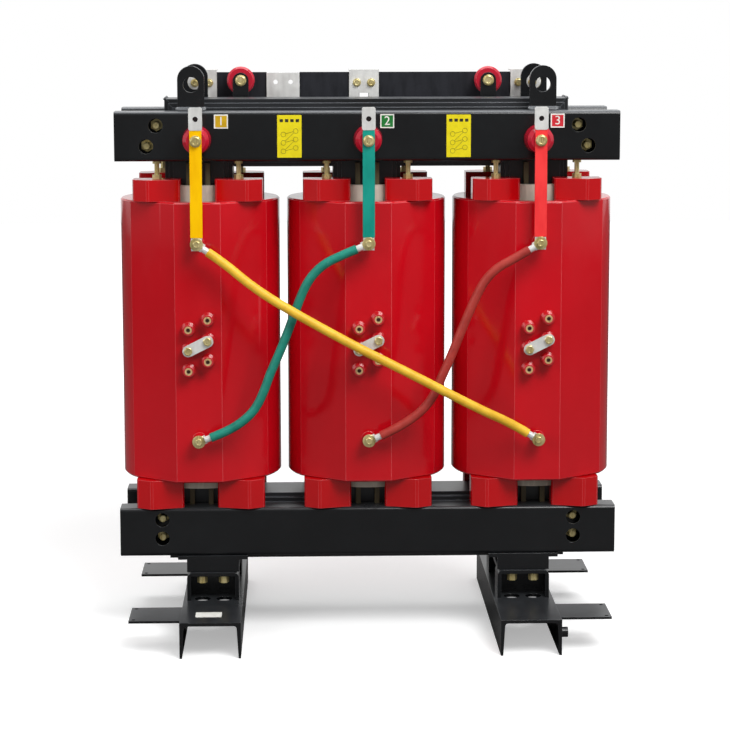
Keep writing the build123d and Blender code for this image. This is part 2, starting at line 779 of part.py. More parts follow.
def bar_sleeves():
    """Black sleeves over the neutral bars between the joints and the outlet."""
    wall, half = lv_sleeve_wall, riser_width / 2
    spans = [(-phase_pitch + half, outlet_x - outlet_width / 2), (outlet_x + outlet_width / 2, -half),
             (half, phase_pitch - half)]
    sleeves = []
    for low, high in spans:
        skin = block((low, high), (neutral_y - wall, neutral_y + neutral_bar_thickness + wall),
                     (neutral_bottom - wall, neutral_top + wall))
        sleeves.append(skin - block((low - 1, high + 1), (neutral_y, neutral_y + neutral_bar_thickness),
                                    (neutral_bottom, neutral_top)))
    return sleeves


def neutral_riser(x):
    """A bent bar from the coil's top, back under the clamp and up to the neutral bar, its top folded back."""
    t, bend = riser_thickness, lv_top + riser_bend_above_lv
    high = neutral_top + riser_top_above_bar
    half, foot = riser_width / 2, riser_foot_width / 2
    riser = block((x - foot, x + foot), (riser_foot_y, riser_foot_y + t), (lv_top, bend + t))
    riser += block((x - half, x + half), (riser_foot_y, riser_y + t), (bend, bend + t))
    riser += block((x - half, x + half), (riser_y, riser_y + t), (bend, high))
    riser += block((x - half, x + half), (riser_y, riser_y + t + riser_fold), (high - 3, high))
    slot = riser_slot_width / 2
    slot_top = neutral_bottom + riser_slot_above_bar
    return riser - block((x - slot, x + slot), (riser_y - 1, riser_y + t + 1), (bend + 3 * t, slot_top))


def joint_bolts():
    heads = []
    for x in phases.values():
        for dx in (-joint_bolt_pitch / 2, joint_bolt_pitch / 2):
            z = neutral_top - riser_width / 3
            heads.append(hexagon((x + dx, riser_y, z), (x + dx, riser_y - joint_bolt_head, z), joint_bolt_af))
    return heads


def phase_bar(x):
    """The outlet bar of one phase: out of the coil's foot joint, back and up behind the neutral bar."""
    t, half = phase_bar_thickness, phase_bar_width / 2
    low = lv_top - t
    high = clamp_upper_z + phase_bar_top
    bar = block((x - half, x + half), (lv_outer_r, phase_bar_y + t), (low, lv_top))
    bar += block((x - half, x + half), (phase_bar_y, phase_bar_y + t), (low, high))
    for dx in (-phase_hole_x / 2, phase_hole_x / 2):
        for dz in (0, phase_hole_z):
            z = high - 20 - dz
            bar -= rod((x + dx, phase_bar_y - 1, z), (x + dx, phase_bar_y + t + 1, z), phase_hole_r)
    return bar


# ---------------------------------------------------------------- every node
os.makedirs("parts", exist_ok=True)

save("core_stack", core_stack())
save("core_top_yoke", top_yoke())
save("core_spacer_sticks", *spacer_sticks())
for name, x in phases.items():
    save(f"hv_coil_{name}", hv_coil(x))
    save(f"lv_coil_{name}", lv_coil(x))
    save(f"upper_support_blocks_{name}", *support_blocks(x, hv_top, block_top, hv_top - 1, lv_top))
    save(f"lower_support_blocks_{name}",
         *support_blocks(x, clamp_lower_z + clamp_height, hv_bottom, lv_bottom, hv_bottom + 1))
    save(f"hv_bar_sleeve_{name}", bar_sleeve(x))
    save(f"lv_neutral_riser_{name}", neutral_riser(x))
    save(f"lv_phase_bar_{name}", phase_bar(x))
save("jack_bolts", *jack_bolts())
save("upper_clamp_front", clamp(-1, clamp_upper_z, upper_rods))
save("upper_clamp_back", clamp(1, clamp_upper_z, upper_rods))
save("lower_clamp_front", clamp(-1, clamp_lower_z, lower_rods))
save("lower_clamp_back", clamp(1, clamp_lower_z, lower_rods))
save("tie_rods", *tie_rods())
save("lifting_lugs_front", *lifting_lugs(-1))
save("lifting_lugs_back", *lifting_lugs(1))
for name, side in (("left", -1), ("right", 1)):
    save(f"base_channel_{name}", base_channel(side))
    save(f"foot_beam_{name}", foot_beam(side))
    save(f"pedestals_{name}", *pedestals(side))
save("foot_nuts", *foot_nuts())
save("side_plates", *side_plates())
save("earth_boss", earth_boss())
save("post_insulators", *post_insulators())
save("insulator_tabs", *insulator_tabs())
save("insulator_bolts", *insulator_bolts())
save("hv_busbars", *[hv_busbar(x) for x in phases.values()])
save("tap_inserts", *[piece for x in phases.values() for piece in tap_inserts(x) + link_inserts(x)])
save("tap_links", *[tap_link(x) for x in phases.values()])
save("link_screws", *link_screws())
save("terminal_bolts", *terminal_bolts())
save("lead_lugs", *[lead_lug(end) for ends in terminal_ends().values() for end in ends])
for colour in lead_routes:
    save(f"delta_lead_{colour}", lead(colour))
save("neutral_bars", *neutral_bars())
save("neutral_outlet", neutral_outlet())
save("neutral_bar_sleeves", *bar_sleeves())
save("neutral_joint_bolts", *joint_bolts())
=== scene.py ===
# %% [markdown]
# # A cast-resin dry type transformer
# The object is a three-phase transformer without oil: three red coils cast in epoxy resin on a black
# laminated core, held between four steel beams and standing on two channels. This lesson dresses a finished
# CAD model of it. Every position below is in metres, in the CAD model's own frame: X runs along the coils,
# -Y is the high-voltage front and Z = 0 is the floor.

# %% Load the solids and measure them
import json
import math

import bpy
from mathutils import Matrix, Vector


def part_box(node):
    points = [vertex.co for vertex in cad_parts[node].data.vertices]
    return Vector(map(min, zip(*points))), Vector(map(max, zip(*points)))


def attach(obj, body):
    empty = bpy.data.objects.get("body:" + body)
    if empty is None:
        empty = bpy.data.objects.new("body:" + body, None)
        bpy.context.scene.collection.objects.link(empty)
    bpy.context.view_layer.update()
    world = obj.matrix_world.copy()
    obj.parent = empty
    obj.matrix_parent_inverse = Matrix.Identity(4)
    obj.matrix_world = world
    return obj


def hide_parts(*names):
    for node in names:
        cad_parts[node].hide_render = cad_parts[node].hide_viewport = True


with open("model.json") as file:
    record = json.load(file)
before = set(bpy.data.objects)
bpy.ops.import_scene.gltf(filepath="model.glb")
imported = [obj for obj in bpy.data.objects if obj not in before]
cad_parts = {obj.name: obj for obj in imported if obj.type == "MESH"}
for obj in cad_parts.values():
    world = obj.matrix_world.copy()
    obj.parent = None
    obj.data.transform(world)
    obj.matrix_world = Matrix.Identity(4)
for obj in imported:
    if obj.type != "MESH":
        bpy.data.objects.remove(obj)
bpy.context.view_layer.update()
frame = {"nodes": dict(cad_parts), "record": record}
nodes = frame["nodes"]

# %% [markdown]
# ## The camera
# The camera stands a little left of the middle and above the beams, and it looks slightly down. A long lens
# keeps the coils nearly parallel, and a small shift puts the object in the middle of the frame.

# %% Make the camera
camera_place = (-0.140, -4.66, 1.313)
camera_down, camera_roll, camera_right = math.radians(7.64), math.radians(0.08), math.radians(1.70)
lens_length, lens_shift = 107.7, -0.082


def shown(name, data):
    """A new object in the scene, at the origin, that holds a mesh, a curve, a lamp or a camera."""
    thing = bpy.data.objects.new(name, data)
    bpy.context.collection.objects.link(thing)
    return thing


camera = shown("camera", bpy.data.cameras.new("camera"))
camera.location = camera_place
camera.rotation_euler = (math.radians(90) - camera_down, camera_roll, -camera_right)
camera.data.lens = lens_length
camera.data.shift_y = lens_shift
camera.data.clip_end = 50
bpy.context.scene.camera = camera
bpy.context.scene.view_settings.view_transform = "Standard"
print("camera at", camera_place, "lens", lens_length)

# %% [markdown]
# ## The delta leads
# Three insulated leads join the top of each coil to the foot of another one. They are stiff cables, so each
# one keeps the smooth sweep that it was bent to. A NURBS spline is the right curve here: its control
# points pull the line without lying on it, and so no kink can appear. Every lead leaves its lug straight,
# in the direction in which the lug is turned, so the first and last points come from the terminals.

# %% Say where the leads run
lead_diameter = 0.019
coil_foot = 0.334
coil_pitch = 0.354
upper_z, lower_z = coil_foot + 0.507, coil_foot + 0.094
upper_y, lower_y = -0.199, -0.195
barrel_end = 0.027

# Both ends of each lead: the terminal, its lug's turn in degrees and the straight run past its barrel.
lead_ends = {
    "yellow": ((-coil_pitch, upper_y, upper_z, -34, 0.040), (coil_pitch, lower_y, lower_z, 148, 0.040)),
    "green": ((0, upper_y, upper_z, -157.5, 0.038), (-coil_pitch, lower_y, lower_z, 21, 0.034)),
    "red": ((coil_pitch, upper_y, upper_z, -150, 0.038), (0, lower_y, lower_z, 25, 0.030)),
}
# Between the lugs each lead passes these points: x, y and the height above the coils' foot.
lead_middles = {
    "yellow": [(-0.240, -0.212, 0.421), (-0.167, -0.221, 0.375), (-0.040, -0.226, 0.304),
               (0.090, -0.228, 0.238), (0.228, -0.218, 0.164)],
    "green": [(-0.094, -0.197, 0.465), (-0.121, -0.194, 0.438), (-0.140, -0.192, 0.401),
              (-0.161, -0.191, 0.342), (-0.184, -0.190, 0.283), (-0.204, -0.191, 0.240),
              (-0.219, -0.192, 0.197), (-0.236, -0.193, 0.163), (-0.262, -0.195, 0.137)],
    "red": [(0.265, -0.197, 0.457), (0.239, -0.194, 0.430), (0.219, -0.192, 0.391),
            (0.195, -0.191, 0.334), (0.170, -0.190, 0.270), (0.150, -0.191, 0.226),
            (0.134, -0.192, 0.187), (0.110, -0.193, 0.157), (0.080, -0.195, 0.135)],
}


# %% Draw tubes along splines
def along_lug(x, y, z, turn, distance):
    """A point at a distance from a terminal, in the direction in which its lug leaves."""
    angle = math.radians(turn)
    return (x + distance * math.cos(angle), y, z + distance * math.sin(angle))


def nurbs_tube(name, points, diameter):
    """A round tube along a NURBS spline. The points carry the radius, so that the tube's box fits it."""
    curve = bpy.data.curves.new(name, "CURVE")
    curve.dimensions = "3D"
    curve.bevel_depth = 1.0
    curve.bevel_resolution = 6
    curve.resolution_u = 16
    curve.use_fill_caps = True
    spline = curve.splines.new("NURBS")
    spline.points.add(len(points) - 1)
    for point, place in zip(spline.points, points):
        point.co = (*place, 1)
        point.radius = diameter / 2
    spline.order_u = 3
    spline.use_endpoint_u = True
    return shown(name, curve)


def straight_end(x, y, z, turn, straight):
    """The two points between which a lead runs straight, the one in the lug's barrel first."""
    return [along_lug(x, y, z, turn, barrel_end), along_lug(x, y, z, turn, barrel_end + straight)]


print("a lug's barrel ends", barrel_end, "m from its terminal")

# %% Lay the leads
leads = {}
for colour, (first, last) in lead_ends.items():
    start, end = straight_end(*first), straight_end(*last)[::-1]
    middle = [(x, y, coil_foot + height) for x, y, height in lead_middles[colour]]
    lead = nurbs_tube(f"lead_{colour}", start + middle + end, lead_diameter)
    leads[colour] = lead
    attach(lead, "root")
    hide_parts(f"delta_lead_{colour}")
print("leads laid:", ", ".join(leads))

# %% [markdown]
# ## A small language for finishes
# Every finish is a tree of shader nodes. Written node by node, a tree hides its arithmetic, so one small
# class wraps a socket and lets Python's own operators add the Math nodes. Another wraps the tree, and has
# one method for all other nodes. Blender's shaders, its world and its Geometry Nodes are all such trees,
# so one class serves the three of them.


# %% Wrap a tree
class Tree:
    """A node tree, and one method that adds a node to it."""

    def __init__(self, tree):
        self.nodes = tree.nodes
        self.links = tree.links

    def add(self, kind, settings=None, sockets=None):
        """Any node: its type, its settings, and the values or links of its input sockets."""
        node = self.nodes.new(kind)
        for name, setting in (settings or {}).items():
            setattr(node, name, setting)
        self.feed(node, sockets or {})
        return node

    def feed(self, node, sockets):
        """Sets or links input sockets, which are told by name or by number."""
        for name, value in sockets.items():
            value = value.socket if isinstance(value, Value) else value
            if isinstance(value, bpy.types.NodeSocket):
                self.links.new(value, node.inputs[name])
            else:
                node.inputs[name].default_value = value


print("a tree can", " and ".join(name for name in vars(Tree) if not name.startswith("_")))


# %% Wrap a socket
class Value:
    """A number that varies over a surface. Arithmetic on it adds Math nodes."""

    def __init__(self, tree, socket):
        self.tree = tree
        self.socket = socket

    def math(self, operation, *terms, clamp=False):
        """Adds a Math node to the tree, and wraps what comes out of it."""
        node = self.tree.add("ShaderNodeMath", {"operation": operation, "use_clamp": clamp},
                             dict(enumerate(terms)))
        return Value(self.tree, node.outputs[0])

    def __add__(self, other):
        return self.math("ADD", self, other)

    def __sub__(self, other):
        return self.math("SUBTRACT", self, other)

    def __mul__(self, other):
        return self.math("MULTIPLY", self, other)

    def __abs__(self):
        return self.math("ABSOLUTE", self)

    def __truediv__(self, other):
        return self.math("DIVIDE", self, other)

    def __pow__(self, other):
        return self.math("POWER", self, other)

    def __rsub__(self, other):
        return self.math("SUBTRACT", other, self)

    __radd__ = __add__
    __rmul__ = __mul__

    def clamped(self):
        return self.math("ADD", self, 0.0, clamp=True)

    def between(self, low, high):
        """0 below low, 1 above high, and a straight ramp from one to the other."""
        return ((self - low) / (high - low)).clamped()


print("values know", ", ".join(name.strip("_") for name in vars(Value) if name.startswith("__")))

# %% [markdown]
# ## Colours and finishes
# A colour is written as it is seen on a screen, and the renderer works in the amount of light. A finish is a
# material whose main shader takes everything from the place on the object, so that a pattern runs over the
# edge from one face to the next and never stretches.


# %% Turn seen colours into light
def linear(red, green, blue):
    """A colour as it is seen, 0 to 255, turned into the light that the renderer works in."""
    return tuple((c / 255 / 12.92) if c < 10.3 else ((c / 255 + 0.055) / 1.055) ** 2.4
                 for c in (red, green, blue)) + (1.0,)


white, black = linear(255, 255, 255), linear(0, 0, 0)
print("half grey on a screen is", round(linear(128, 128, 128)[0], 3), "of the light")


# %% Make materials that vary over a surface
class Finish(Tree):
    """A material, its main shader, and the ways to vary it over a surface."""

    def __init__(self, name):
        self.material = bpy.data.materials.new(name)
        self.material.use_nodes = True
        super().__init__(self.material.node_tree)
        self.shader = self.nodes["Principled BSDF"]
        self.place = self.add("ShaderNodeTexCoord").outputs["Object"]

    def stretched(self, x=1.0, y=1.0, z=1.0):
        """The place on the object, squeezed along each axis: a large number packs the pattern."""
        return self.add("ShaderNodeMapping", {}, {"Vector": self.place, "Scale": (x, y, z)}).outputs[0]

    def noise(self, scale, detail=3.0, roughness=0.55, along=None):
        """Clouds from 0 to 1. The scale says how many there are in a metre, roughly."""
        sockets = {"Vector": along or self.place, "Scale": scale, "Detail": detail, "Roughness": roughness}
        return Value(self, self.add("ShaderNodeTexNoise", {}, sockets).outputs[0])

    def axis(self, index):
        """The place along X, Y or Z, which are 0, 1 and 2."""
        return Value(self, self.add("ShaderNodeSeparateXYZ", {}, {0: self.place}).outputs[index])

    def facing_up(self):
        """1 on a face that looks up, 0 on a wall and -1 underneath."""
        geometry = self.add("ShaderNodeNewGeometry")
        return Value(self, self.add("ShaderNodeSeparateXYZ", {}, {0: geometry.outputs["Normal"]}).outputs[2])

    def mix(self, low, high, share):
        """A colour between two others: all of the second one where the share is 1."""
        sockets = {0: share, 6: low, 7: high}
        return self.add("ShaderNodeMix", {"data_type": "RGBA"}, sockets).outputs[2]

    def edges(self, radius):
        """Rounded edges in the shading, and how far each point is into one."""
        soft = self.add("ShaderNodeBevel", {"samples": 4}, {"Radius": radius}).outputs[0]
        hard = self.add("ShaderNodeNewGeometry").outputs["Normal"]
        dot = self.add("ShaderNodeVectorMath", {"operation": "DOT_PRODUCT"}, {0: soft, 1: hard})
        return soft, 1 - Value(self, dot.outputs["Value"])

    def relief(self, height, depth, normal=None, strength=1.0):
        """Bumps in the shading, as deep as told in metres, on top of a normal that is already softened."""
        sockets = {"Height": height, "Distance": depth, "Strength": strength}
        if normal is not None:
            sockets["Normal"] = normal
        return self.add("ShaderNodeBump", {}, sockets).outputs[0]

    def shine(self, **sockets):
        """Sets the main shader: base_color becomes Base Color."""
        names = {"specular": "Specular IOR Level"}
        self.feed(self.shader, {names.get(k, k.replace("_", " ").title()): v for k, v in sockets.items()})
        return self.material


print("finishes can be written, with", ", ".join(name for name in vars(Finish) if not name.startswith("_")))

# %% [markdown]
# ## Cast resin
# The coils are cast in a mould under vacuum. The surface is glossy and deep red, with faint clouding from
# the filler and a slight waviness that shows in its reflections. The support blocks and the posts come out
# of the same kind of mould, so one function serves all three with other colours.

# %% Finish the resin
def cast_resin(name, colour, deep, gloss=0.07, edge=0.0016, edge_highlight_share=0.6):
    """Resin with clouds, upright streaks, a painted pink highlight on its edges and a few rubbed places."""
    finish = Finish(name)
    cloud = finish.noise(3.0, 4.0)
    streak = finish.noise(9.0, 3.0, along=finish.stretched(1.0, 1.0, 0.12))
    soft, edge_highlight_mask = finish.edges(edge)
    base = finish.mix(deep, colour, (cloud * 0.7 + streak * 0.3).between(0.32, 0.66))
    # Painted highlight: pale pink on the edges, where the rounded rims would catch the light.
    edge_highlight_and_rub_pink = linear(232, 128, 132)
    base = finish.mix(base, edge_highlight_and_rub_pink, edge_highlight_mask.between(0.003, 0.03) * edge_highlight_share)
    # The same pink also marks a few rubbed places, which are wear.
    rub = finish.noise(55.0, 2.0, along=finish.stretched(1.0, 1.0, 0.02))
    base = finish.mix(base, edge_highlight_and_rub_pink, rub.between(0.70, 0.78) * cloud.between(0.5, 0.6) * 0.3)
    smear = finish.noise(22.0, 2.0, along=finish.stretched(1.0, 1.0, 0.4))
    wave = finish.noise(9.0, 1.0)
    skin = finish.relief(wave, 0.0012, soft, 0.2)
    return finish.shine(base_color=base, roughness=smear.between(0.3, 0.75) * 0.1 + gloss, normal=skin,
                        specular=0.5)


finishes = {
    "coil_resin": cast_resin("cast_resin_red", linear(206, 12, 28), linear(188, 9, 22)),
    "block_resin": cast_resin("block_resin_red", linear(198, 6, 16), linear(178, 5, 12),
                              gloss=0.12, edge=0.0012),
    "insulator_resin": cast_resin("post_resin_crimson", linear(196, 22, 50), linear(172, 16, 38),
                                  gloss=0.15, edge=0.0012, edge_highlight_share=0.2),
    "boss_resin": cast_resin("boss_resin_red", linear(194, 6, 20), linear(168, 4, 16),
                             gloss=0.15, edge=0.0005, edge_highlight_share=0.0),
}
print("resin finishes:", len(finishes))

# %% [markdown]
# ## The winding's own resin
# The low-voltage coils are foil windings in pale resin. Only their ends and a slit of their sides show.
# Fine upright fibres are those of the glass cloth under the resin. The sticks that keep a coil off its limb
# are cut from laminated board, whose grain runs along them.

# %% Finish the low-voltage coils and the sticks
def pale_winding():
    """Blotched resin over glass cloth."""
    finish = Finish("foil_winding")
    blotch = finish.noise(7.0, 4.0)
    fibres = finish.noise(120.0, 2.0, along=finish.stretched(1.0, 1.0, 0.2))
    base = finish.mix(linear(152, 144, 130), linear(200, 192, 178), blotch.between(0.3, 0.7))
    base = finish.mix(base, linear(216, 208, 190), fibres.between(0.5, 0.8) * 0.5)
    return finish.shine(base_color=base, roughness=blotch * 0.2 + 0.35, normal=finish.relief(fibres, 0.0006),
                        specular=0.4)


def laminate_stick():
    """Brown board with its grain along Z."""
    finish = Finish("glass_laminate")
    grain = finish.noise(60.0, 3.0, along=finish.stretched(1.0, 1.0, 0.03))
    base = finish.mix(linear(54, 47, 26), linear(84, 74, 44), grain.between(0.3, 0.7))
    return finish.shine(base_color=base, roughness=grain * 0.2 + 0.45, normal=finish.relief(grain, 0.0004))


finishes["lv_resin"] = pale_winding()
finishes["stick_resin"] = laminate_stick()
print("winding and stick finishes made")

# %% [markdown]
# ## Black steel
# The beams, channels and lugs are painted black in one coat. Bare black would look like a hole: the paint
# has a soft gloss, a fine orange peel, grey dust on what looks up with a painted sky reflection there, and
# painted highlights on its edges. The core is varnished after it is stacked, so its sheet edges show as fine
# lines through the film; its top faces and edges are painted lighter as highlights too.

# %% Finish the frame and the core
def enamel(name, body, dust, gloss):
    """Paint with an orange peel, lighter where it looks up (mottled dust and a painted sky reflection, stronger
    higher on the object), and with a painted highlight on its edges.
    """
    finish = Finish(name)
    soft, edge_highlight_mask = finish.edges(0.0015)
    cloud = finish.noise(5.0, 4.0)
    peel = finish.noise(420.0, 2.0)
    grime = finish.noise(26.0, 5.0, 0.65)
    up = finish.facing_up().between(0.3, 0.95)
    base = finish.mix(body, linear(26, 28, 30), (cloud * grime).between(0.16, 0.5) * 0.5)
    high = finish.axis(2).between(0.25, 0.95)
    # Tops are lightened: the mottled part that follows the grime is dust, the part that grows with height is a
    # painted sky reflection.
    base = finish.mix(base, dust, up * (grime * 0.24 + high * 0.4 + 0.02))
    # Painted highlight along the edges.
    base = finish.mix(base, linear(92, 95, 98), (edge_highlight_mask * 3.0).clamped() * 0.4)
    return finish.shine(base_color=base, roughness=cloud * 0.12 + up * 0.06 + gloss, specular=0.5,
                        normal=finish.relief(peel, 0.0003, soft, 0.3))


def varnished_sheets():
    """Sheets stacked along Y: their edges show as lines along X and Z. Top faces and edges are painted lighter
    as highlights.
    """
    finish = Finish("varnished_core")
    sheets = finish.noise(1.0, 2.0, 0.7, along=finish.stretched(3.0, 650.0, 3.0))
    cloud = finish.noise(6.0, 4.0)
    up = finish.facing_up().between(0.4, 0.95)
    shade = (sheets * 0.6 + cloud * 0.4).between(0.35, 0.7)
    base = finish.mix(linear(14, 15, 17), linear(40, 42, 46), shade)
    # Painted sky reflection: top faces lighter, broken by the sheet lines.
    base = finish.mix(base, linear(92, 96, 102), up * (sheets * 0.4 + 0.1))
    soft, edge_highlight_mask = finish.edges(0.0018)
    # Painted highlight along the edges.
    base = finish.mix(base, linear(150, 156, 164), (edge_highlight_mask * 4.0).clamped() * 0.5)
    return finish.shine(base_color=base, roughness=cloud * 0.16 + 0.24, specular=0.5,
                        normal=finish.relief(sheets, 0.0005, soft, 0.6))


finishes["frame_paint"] = enamel("black_enamel", linear(12, 13, 15), linear(108, 112, 117), 0.17)
finishes["core_paint"] = varnished_sheets()
print("steel finishes made")

# %% [markdown]
# ## Bright metal
# The bolts are plated with yellow zinc, the bars are tinned copper and the tap inserts are turned brass.
# Plating is never even: its colour drifts over a part, and handling leaves it duller in places.

# %% Finish the metals
def bright_metal(name, light, dark, rough, grain, metallic):
    """Metal with a drifting colour and fine upright scratches."""
    finish = Finish(name)
    soft, _ = finish.edges(0.0006)
    cloud = finish.noise(38.0, 4.0)
    scratch = finish.noise(grain, 3.0, along=finish.stretched(1.0, 1.0, 0.15))
    base = finish.mix(dark, light, (cloud * 0.6 + scratch * 0.4).between(0.32, 0.64))
    return finish.shine(base_color=base, metallic=metallic, roughness=scratch * 0.18 + rough,
                        normal=finish.relief(scratch, 0.0002, soft, 0.5))


finishes["zinc"] = bright_metal("yellow_zinc", linear(234, 220, 164), linear(190, 168, 100),
                                rough=0.2, grain=180.0, metallic=0.6)
finishes["tinned"] = bright_metal("tinned_copper", linear(238, 238, 235), linear(210, 209, 206),
                                  rough=0.28, grain=90.0, metallic=0.3)
finishes["insert_brass"] = bright_metal("turned_brass", linear(250, 216, 160), linear(222, 178, 120),
                                        rough=0.2, grain=180.0, metallic=0.5)
print("metal finishes made")

# %% [markdown]
# ## Sleeves and cable jackets
# Heat-shrink sleeve is thin and glossy, and it follows what is under it. The leads have a silicone jacket,
# softer in its shine, that picks up a little dust.

# %% Finish the coloured insulation
def shrink_sleeve(name, colour, deep, specular=0.22):
    """Thin plastic drawn over a bar, with slow ripples."""
    finish = Finish(name)
    soft, _ = finish.edges(0.001)
    ripple = finish.noise(48.0, 3.0, along=finish.stretched(1.0, 1.0, 0.3))
    base = finish.mix(deep, colour, ripple.between(0.25, 0.6))
    return finish.shine(base_color=base, roughness=ripple * 0.15 + 0.3, specular=specular,
                        normal=finish.relief(ripple, 0.0005, soft, 0.4))


def silicone_jacket(name, colour, deep):
    """Matt rubber, mottled and a little dusty."""
    finish = Finish(name)
    mottle = finish.noise(30.0, 4.0)
    dust = finish.noise(160.0, 4.0, 0.7)
    base = finish.mix(deep, colour, mottle.between(0.3, 0.6))
    base = finish.mix(base, linear(214, 206, 190), dust.between(0.58, 0.8) * 0.12)
    return finish.shine(base_color=base, roughness=mottle * 0.2 + 0.36, normal=finish.relief(dust, 0.0002),
                        specular=0.35)


finishes["sleeve_yellow"] = shrink_sleeve("sleeve_yellow", linear(255, 198, 0), linear(244, 182, 0), 0.1)
finishes["sleeve_green"] = shrink_sleeve("sleeve_green", linear(24, 152, 136), linear(14, 134, 120))
finishes["sleeve_red"] = shrink_sleeve("sleeve_red", linear(250, 66, 66), linear(234, 48, 52))
finishes["bar_black"] = shrink_sleeve("sleeve_black", linear(40, 41, 46), linear(28, 29, 33))
finishes["lead_yellow"] = silicone_jacket("jacket_yellow", linear(242, 194, 56), linear(224, 172, 40))
finishes["lead_green"] = silicone_jacket("jacket_green", linear(30, 138, 120), linear(20, 118, 102))
finishes["lead_red"] = silicone_jacket("jacket_brown_red", linear(176, 58, 50), linear(154, 46, 40))
print("insulation finishes made")

# %% [markdown]
# ## Dress the solids
# The record says which slot each solid takes its finish from, so no list is needed here.

# %% Give each solid its finish
for part in frame["record"]["subparts"]:
    piece = nodes[part["node"]]
    piece.data.materials.clear()
    piece.data.materials.append(finishes[part["material_slot"]])
for colour, lead in leads.items():
    lead.data.materials.append(finishes[f"lead_{colour}"])

# %% [markdown]
# ## Hexagon heads
# A real head isn't a plain prism: its top is turned to a cone, which leaves the six curved chamfers, and most
# heads have a washer under them. One head is built from rings of points, and Geometry Nodes put it at every
# place that needs it, turned along the bolt's own axis.

# %% Build bodies from rings
def ring(radius_at, height_at, count=36):
    """Points round Z. The radius and the height are numbers, or functions of the angle."""
    radius = radius_at if callable(radius_at) else lambda a: radius_at
    height = height_at if callable(height_at) else lambda a: height_at
    return [(radius(a) * math.cos(a), radius(a) * math.sin(a), height(a))
            for a in (2 * math.pi * k / count for k in range(count))]


def stack_rings(name, rings, closed_top=True, closed_foot=True):
    """A closed body of rings with equal counts, the first at the foot."""
    count = len(rings[0])
    points = [p for one in rings for p in one]
    faces = [(low + k, low + (k + 1) % count, low + count + (k + 1) % count, low + count + k)
             for low in range(0, count * (len(rings) - 1), count) for k in range(count)]
    if closed_top:
        faces.append(tuple(range(len(points) - count, len(points))))
    if closed_foot:
        faces.append(tuple(reversed(range(count))))
    mesh = bpy.data.meshes.new(name)
    mesh.from_pydata(points, [], faces)
    return mesh


print("a ring of six points:", [tuple(round(c, 2) for c in point) for point in ring(1, 0, 6)])


# %% Build one head
def hexagon_radius(across_flats):
    """How far the edge of a hexagon is from its middle, as a function of the angle."""
    return lambda a: across_flats / 2 / math.cos((a + math.pi / 6) % (math.pi / 3) - math.pi / 6)


def head_mesh(name, across_flats, height, washer_radius, washer_height):
    """A chamfered head on its washer. A washer height of 0 leaves the washer out."""
    flat, crown = hexagon_radius(across_flats), across_flats * 0.46
    lift, top = washer_height, washer_height + height

    def chamfer(a):
        return top - (flat(a) - crown) * 0.55

    rings = []
    if washer_height:
        rings += [ring(washer_radius, 0), ring(washer_radius, lift * 0.8), ring(washer_radius * 0.96, lift)]
    rings += [ring(flat, lift), ring(flat, chamfer), ring(crown, top), ring(crown * 0.72, top),
              ring(crown * 0.66, lift + height * 0.93)]
    return stack_rings(name, rings)


trial = head_mesh("trial_head", 0.013, 0.006, 0.0135, 0.002)
print("one head has", len(trial.polygons), "faces")
bpy.data.meshes.remove(trial)

# %% [markdown]
# ## Copies with Geometry Nodes
# The tree below takes a mesh of bare points, reads the direction stored on each, and sets the head there.
# A copied object could do the same, but one tree keeps every copy in step with its model. It ends by making
# the copies real, because a finished model has no instances.


# %% Write Geometry Nodes trees
class Builder(Tree):
    """A Geometry Nodes tree with named inputs, the first of which is the geometry."""

    def __init__(self, name, inputs):
        self.tree = bpy.data.node_groups.new(name, "GeometryNodeTree")
        super().__init__(self.tree)
        face = self.tree.interface
        face.new_socket("Geometry", in_out="INPUT", socket_type="NodeSocketGeometry")
        for label, kind in inputs.items():
            face.new_socket(label, in_out="INPUT", socket_type=f"NodeSocket{kind}")
        face.new_socket("Geometry", in_out="OUTPUT", socket_type="NodeSocketGeometry")
        self.inputs = self.add("NodeGroupInput").outputs

    def finish(self, geometry):
        """Ends the tree: instances made real, and the finish set."""
        real = self.add("GeometryNodeRealizeInstances", {}, {"Geometry": geometry}).outputs[0]
        sockets = {"Geometry": real, "Material": self.inputs["Material"]}
        painted = self.add("GeometryNodeSetMaterial", {}, sockets)
        self.add("NodeGroupOutput", {}, {"Geometry": painted.outputs[0]})
        return self.tree


def plain_mesh(holder):
    """What an object looks like once its modifiers or its letters are worked out, as a plain mesh."""
    graph = bpy.context.evaluated_depsgraph_get()
    return bpy.data.meshes.new_from_object(holder.evaluated_get(graph))


def grown(name, source, tree, values):
    """Runs a tree on a mesh and keeps the result as a plain mesh object at the origin."""
    seed = shown(name + "_seed", source)
    modifier = seed.modifiers.new("grow", "NODES")
    modifier.node_group = tree
    for item in tree.interface.items_tree:
        if item.in_out == "INPUT" and item.name in values:
            modifier[item.identifier] = values[item.name]
    mesh = plain_mesh(seed)
    seed.modifiers.remove(modifier)
    bpy.data.objects.remove(seed)
    piece = shown(name, mesh)
    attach(piece, "root")
    return piece


print("a builder can also", ", ".join(name for name in vars(Builder) if not name.startswith("_")))


